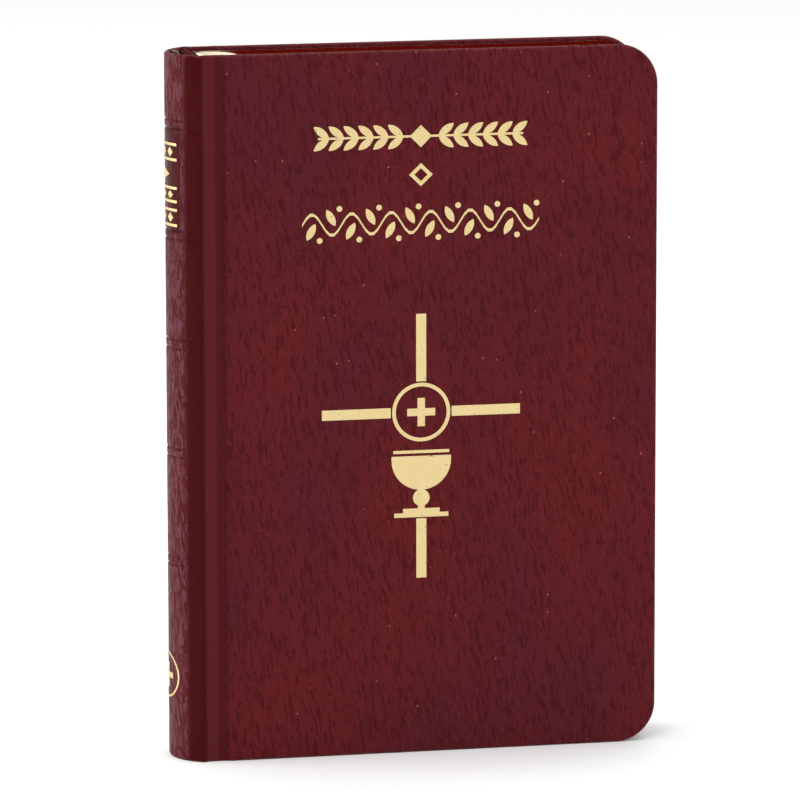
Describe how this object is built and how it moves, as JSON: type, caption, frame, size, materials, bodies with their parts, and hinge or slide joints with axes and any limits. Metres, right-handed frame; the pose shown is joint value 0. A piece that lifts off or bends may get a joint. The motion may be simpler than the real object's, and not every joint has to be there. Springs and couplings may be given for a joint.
{
  "type": "prayer book",
  "caption": "Small prayer book with flexible grained leather covers, rounded hollow spine, sewn sections with gilt edges and gilt ornaments; covers and sections swing open.",
  "frame": {"origin": "centre of the closed book's tail, at the bottom of its bounding box", "axes": "+Z from tail to head, -X towards the spine, +X towards the fore-edge, -Y towards the front cover"},
  "size_m": [0.1101, 0.019, 0.1587],
  "materials": {
    "cover_leather": "burgundy, fine upright wrinkled grain, soft sheen",
    "spine_leather": "burgundy, fine grain, tooled lines",
    "board": "grey-brown flexible board",
    "inlay_card": "kraft card",
    "endpaper": "smooth cream paper",
    "hinge_cloth": "open starched gauze",
    "gilt_foil": "hot-stamped gilt foil",
    "band_cloth": "beaded band, cream and gold",
    "thread": "waxed linen thread",
    "page_folds": "folded thin paper, glued",
    "gilt_pages": "thin cream paper with gilt edges"
  },
  "bodies": {
    "spine": {"spine_leather": "spine_leather", "spine_inlay": "inlay_card", "spine_title_foil": "gilt_foil", "spine_medallion_foil": "gilt_foil", "mull": "hinge_cloth", "spine_lining": "inlay_card", "headband": "band_cloth", "tailband": "band_cloth", "sewing_thread": "thread", "section_folds": "page_folds", "endpaper_tips": "endpaper"},
    "front_cover": {"front_cover_leather": "cover_leather", "front_board": "board", "front_pastedown": "endpaper", "front_hinge_cloth": "hinge_cloth", "front_title_foil": "gilt_foil", "front_emblem_foil": "gilt_foil"},
    "back_cover": {"back_cover_leather": "cover_leather", "back_board": "board", "back_pastedown": "endpaper", "back_hinge_cloth": "hinge_cloth"},
    "front_flyleaf": {"front_flyleaf": "endpaper"},
    "back_flyleaf": {"back_flyleaf": "endpaper"},
    "section_1": {"section_1": "gilt_pages"},
    "section_2": {"section_2": "gilt_pages"},
    "section_3": {"section_3": "gilt_pages"},
    "section_4": {"section_4": "gilt_pages"},
    "section_5": {"section_5": "gilt_pages"},
    "section_6": {"section_6": "gilt_pages"},
    "section_7": {"section_7": "gilt_pages"},
    "section_8": {"section_8": "gilt_pages"},
    "section_9": {"section_9": "gilt_pages"},
    "section_10": {"section_10": "gilt_pages"}
  },
  "joints": [
    {"name": "front_cover_hinge", "type": "hinge", "parent": "spine", "child": "front_cover", "pos_m": [-0.047, -0.00965, 0.07938], "axis": [0, 0, -1], "range_deg": [0, 179]},
    {"name": "back_cover_hinge", "type": "hinge", "parent": "spine", "child": "back_cover", "pos_m": [-0.047, 0.00965, 0.07938], "axis": [0, 0, 1], "range_deg": [0, 179]},
    {"name": "front_flyleaf_fold", "type": "hinge", "parent": "spine", "child": "front_flyleaf", "pos_m": [-0.04628, -0.00751, 0.07938], "axis": [0, 0, -1], "range_deg": [0, 94]},
    {"name": "back_flyleaf_fold", "type": "hinge", "parent": "spine", "child": "back_flyleaf", "pos_m": [-0.04628, 0.00751, 0.07938], "axis": [0, 0, 1], "range_deg": [0, 94]},
    {"name": "section_1_fold", "type": "hinge", "parent": "spine", "child": "section_1", "pos_m": [-0.04528, -0.00664, 0.07938], "axis": [0, 0, -1], "range_deg": [0, 75]},
    {"name": "section_2_fold", "type": "hinge", "parent": "spine", "child": "section_2", "pos_m": [-0.04528, -0.00517, 0.07938], "axis": [0, 0, -1], "range_deg": [0, 60]},
    {"name": "section_3_fold", "type": "hinge", "parent": "spine", "child": "section_3", "pos_m": [-0.04528, -0.00369, 0.07938], "axis": [0, 0, -1], "range_deg": [0, 45]},
    {"name": "section_4_fold", "type": "hinge", "parent": "spine", "child": "section_4", "pos_m": [-0.04528, -0.00221, 0.07938], "axis": [0, 0, -1], "range_deg": [0, 30]},
    {"name": "section_5_fold", "type": "hinge", "parent": "spine", "child": "section_5", "pos_m": [-0.04528, -0.00074, 0.07938], "axis": [0, 0, -1], "range_deg": [0, 15]},
    {"name": "section_6_fold", "type": "hinge", "parent": "spine", "child": "section_6", "pos_m": [-0.04528, 0.00074, 0.07938], "axis": [0, 0, 1], "range_deg": [0, 15]},
    {"name": "section_7_fold", "type": "hinge", "parent": "spine", "child": "section_7", "pos_m": [-0.04528, 0.00221, 0.07938], "axis": [0, 0, 1], "range_deg": [0, 30]},
    {"name": "section_8_fold", "type": "hinge", "parent": "spine", "child": "section_8", "pos_m": [-0.04528, 0.00369, 0.07938], "axis": [0, 0, 1], "range_deg": [0, 45]},
    {"name": "section_9_fold", "type": "hinge", "parent": "spine", "child": "section_9", "pos_m": [-0.04528, 0.00517, 0.07938], "axis": [0, 0, 1], "range_deg": [0, 60]},
    {"name": "section_10_fold", "type": "hinge", "parent": "spine", "child": "section_10", "pos_m": [-0.04528, 0.00664, 0.07938], "axis": [0, 0, 1], "range_deg": [0, 75]}
  ],
  "couplings": [
    {"joint": "front_flyleaf_fold", "follows": "front_cover_hinge", "ratio": 0.52},
    {"joint": "back_flyleaf_fold", "follows": "back_cover_hinge", "ratio": 0.52},
    {"joint": "section_1_fold", "follows": "front_cover_hinge", "ratio": 0.41899},
    {"joint": "section_2_fold", "follows": "front_cover_hinge", "ratio": 0.33519},
    {"joint": "section_3_fold", "follows": "front_cover_hinge", "ratio": 0.25139},
    {"joint": "section_4_fold", "follows": "front_cover_hinge", "ratio": 0.16759},
    {"joint": "section_5_fold", "follows": "front_cover_hinge", "ratio": 0.08379},
    {"joint": "section_6_fold", "follows": "back_cover_hinge", "ratio": 0.08379},
    {"joint": "section_7_fold", "follows": "back_cover_hinge", "ratio": 0.16759},
    {"joint": "section_8_fold", "follows": "back_cover_hinge", "ratio": 0.25139},
    {"joint": "section_9_fold", "follows": "back_cover_hinge", "ratio": 0.33519},
    {"joint": "section_10_fold", "follows": "back_cover_hinge", "ratio": 0.41899}
  ]
}
